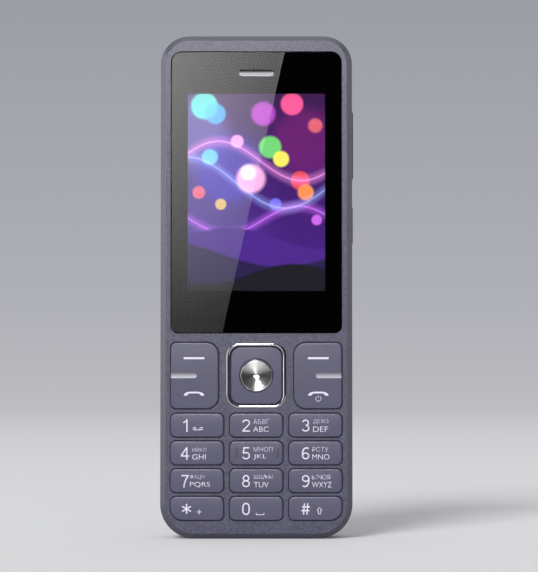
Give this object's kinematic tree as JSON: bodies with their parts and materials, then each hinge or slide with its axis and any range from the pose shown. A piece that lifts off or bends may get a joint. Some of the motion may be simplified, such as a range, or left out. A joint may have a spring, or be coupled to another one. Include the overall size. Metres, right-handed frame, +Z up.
{
  "type": "feature phone",
  "caption": "Slim upright feature phone with a screen under a glass lens, a rocking navigation pad, a full set of number keys, side keys and a lift-off battery cover.",
  "frame": {"origin": "middle of the foot on which the phone stands, under the middle of the body", "axes": "+Z up along the phone's height, the screen and keys face -Y, +X to the right of someone who looks at the screen"},
  "size_m": [0.049, 0.014, 0.1274],
  "materials": {
    "housing": "fine grained, purple grey",
    "cover": "fine grained, purple grey",
    "keys": "fine grained, purple grey",
    "side_keys": "satin, purple grey",
    "pad": "satin, purple grey",
    "chassis": "moulded black",
    "lens": "polished",
    "black_border": "printed black",
    "screen": "lit picture",
    "backlight": "white diffuser",
    "mesh": "perforated",
    "black_part": "moulded black",
    "steel": "stamped",
    "screws": "blackened",
    "flex": "polyimide film",
    "board": "solder mask",
    "film": "thin film",
    "silicone": "silicone",
    "bright_ring": "polished trim",
    "spun_metal": "radially spun",
    "inlay": "satin",
    "contacts": "gold plated",
    "jack": "moulded black with metal lining",
    "camera_trim": "turned",
    "dark_glass": "polished",
    "led": "phosphor",
    "clear": "moulded clear",
    "frame_plastic": "moulded",
    "battery": "wrapped cell",
    "tungsten": "sintered"
  },
  "bodies": {
    "phone_body": {"front_housing": "housing", "rear_housing": "chassis", "display_lens": "lens", "lens_tape": "black_border", "earpiece_mesh": "mesh", "earpiece_speaker": "black_part", "lcd_panel": "screen", "lcd_backlight": "backlight", "lcd_frame": "steel", "lcd_flex": "flex", "main_board": "board", "dome_film": "film", "key_domes": "steel", "keypad_mat": "silicone", "nav_ring": "bright_ring", "side_switches": "steel", "case_screws": "screws", "battery_contacts": "contacts", "sim_holder_1": "steel", "sim_holder_2": "steel", "memory_card_holder": "steel", "radio_shield": "steel", "processor_shield": "steel", "audio_jack": "jack", "usb_shell": "steel", "usb_tongue": "black_part", "microphone": "contacts", "mic_boot": "silicone", "camera_module": "black_part", "camera_ring": "camera_trim", "camera_window": "dark_glass", "flash_led": "led", "flash_light_pipe": "clear", "loudspeaker": "black_part", "vibration_motor": "steel", "antenna_flex": "flex"},
    "key_1": {"key_1": "keys"},
    "key_2": {"key_2": "keys"},
    "key_3": {"key_3": "keys"},
    "key_4": {"key_4": "keys"},
    "key_5": {"key_5": "keys"},
    "key_6": {"key_6": "keys"},
    "key_7": {"key_7": "keys"},
    "key_8": {"key_8": "keys"},
    "key_9": {"key_9": "keys"},
    "key_star": {"key_star": "keys"},
    "key_0": {"key_0": "keys"},
    "key_hash": {"key_hash": "keys"},
    "left_key": {"left_key": "keys", "left_inlay": "inlay"},
    "right_key": {"right_key": "keys", "right_inlay": "inlay"},
    "nav_carrier": {"nav_carrier": "frame_plastic"},
    "nav_pad": {"nav_pad": "pad"},
    "ok_button": {"ok_button": "spun_metal"},
    "volume_key": {"volume_key": "side_keys"},
    "power_key": {"power_key": "side_keys"},
    "battery_cover": {"battery_cover": "cover"},
    "battery": {"battery": "battery"},
    "motor_weight": {"motor_weight": "tungsten"}
  },
  "joints": [
    {"name": "key_1_press", "type": "slide", "parent": "phone_body", "child": "key_1", "axis": [0, 1, 0], "range_m": [0, 0.0004], "stiffness_N_per_m": 3000},
    {"name": "key_2_press", "type": "slide", "parent": "phone_body", "child": "key_2", "axis": [0, 1, 0], "range_m": [0, 0.0004], "stiffness_N_per_m": 3000},
    {"name": "key_3_press", "type": "slide", "parent": "phone_body", "child": "key_3", "axis": [0, 1, 0], "range_m": [0, 0.0004], "stiffness_N_per_m": 3000},
    {"name": "key_4_press", "type": "slide", "parent": "phone_body", "child": "key_4", "axis": [0, 1, 0], "range_m": [0, 0.0004], "stiffness_N_per_m": 3000},
    {"name": "key_5_press", "type": "slide", "parent": "phone_body", "child": "key_5", "axis": [0, 1, 0], "range_m": [0, 0.0004], "stiffness_N_per_m": 3000},
    {"name": "key_6_press", "type": "slide", "parent": "phone_body", "child": "key_6", "axis": [0, 1, 0], "range_m": [0, 0.0004], "stiffness_N_per_m": 3000},
    {"name": "key_7_press", "type": "slide", "parent": "phone_body", "child": "key_7", "axis": [0, 1, 0], "range_m": [0, 0.0004], "stiffness_N_per_m": 3000},
    {"name": "key_8_press", "type": "slide", "parent": "phone_body", "child": "key_8", "axis": [0, 1, 0], "range_m": [0, 0.0004], "stiffness_N_per_m": 3000},
    {"name": "key_9_press", "type": "slide", "parent": "phone_body", "child": "key_9", "axis": [0, 1, 0], "range_m": [0, 0.0004], "stiffness_N_per_m": 3000},
    {"name": "key_star_press", "type": "slide", "parent": "phone_body", "child": "key_star", "axis": [0, 1, 0], "range_m": [0, 0.0004], "stiffness_N_per_m": 3000},
    {"name": "key_0_press", "type": "slide", "parent": "phone_body", "child": "key_0", "axis": [0, 1, 0], "range_m": [0, 0.0004], "stiffness_N_per_m": 3000},
    {"name": "key_hash_press", "type": "slide", "parent": "phone_body", "child": "key_hash", "axis": [0, 1, 0], "range_m": [0, 0.0004], "stiffness_N_per_m": 3000},
    {"name": "left_key_rock", "type": "hinge", "parent": "phone_body", "child": "left_key", "pos_m": [-0.01555, -0.00465, 0.04109], "axis": [1, 0, 0], "range_deg": [-1.8, 1.8], "stiffness_Nm_per_rad": 0.25},
    {"name": "right_key_rock", "type": "hinge", "parent": "phone_body", "child": "right_key", "pos_m": [0.01555, -0.00465, 0.04109], "axis": [1, 0, 0], "range_deg": [-1.8, 1.8], "stiffness_Nm_per_rad": 0.25},
    {"name": "nav_tip_up_down", "type": "hinge", "parent": "phone_body", "child": "nav_carrier", "pos_m": [0, -0.00376, 0.04109], "axis": [1, 0, 0], "range_deg": [-1.8, 1.8], "stiffness_Nm_per_rad": 0.25},
    {"name": "nav_tip_sideways", "type": "hinge", "parent": "nav_carrier", "child": "nav_pad", "pos_m": [0, -0.00439, 0.04109], "axis": [0, 0, 1], "range_deg": [-1.8, 1.8], "stiffness_Nm_per_rad": 0.25},
    {"name": "ok_press", "type": "slide", "parent": "phone_body", "child": "ok_button", "axis": [0, 1, 0], "range_m": [0, 0.0004], "stiffness_N_per_m": 3000},
    {"name": "volume_rock", "type": "hinge", "parent": "phone_body", "child": "volume_key", "pos_m": [0.02175, -0.00075, 0.0998], "axis": [0, 1, 0], "range_deg": [-1.8, 1.8], "stiffness_Nm_per_rad": 0.25},
    {"name": "power_press", "type": "slide", "parent": "phone_body", "child": "power_key", "axis": [-1, 0, 0], "range_m": [0, 0.0003], "stiffness_N_per_m": 3000},
    {"name": "cover_lift", "type": "slide", "parent": "phone_body", "child": "battery_cover", "axis": [0, 1, 0], "range_m": [0, 0.025]},
    {"name": "battery_lift", "type": "slide", "parent": "phone_body", "child": "battery", "axis": [0, 1, 0], "range_m": [0, 0.0101]},
    {"name": "motor_spin", "type": "hinge", "parent": "phone_body", "child": "motor_weight", "pos_m": [0.0068, 0.00182, 0.01098], "axis": [1, 0, 0], "continuous": true}
  ],
  "couplings": [
    {"joint": "battery_lift", "follows": "cover_lift", "ratio": 0.4}
  ]
}
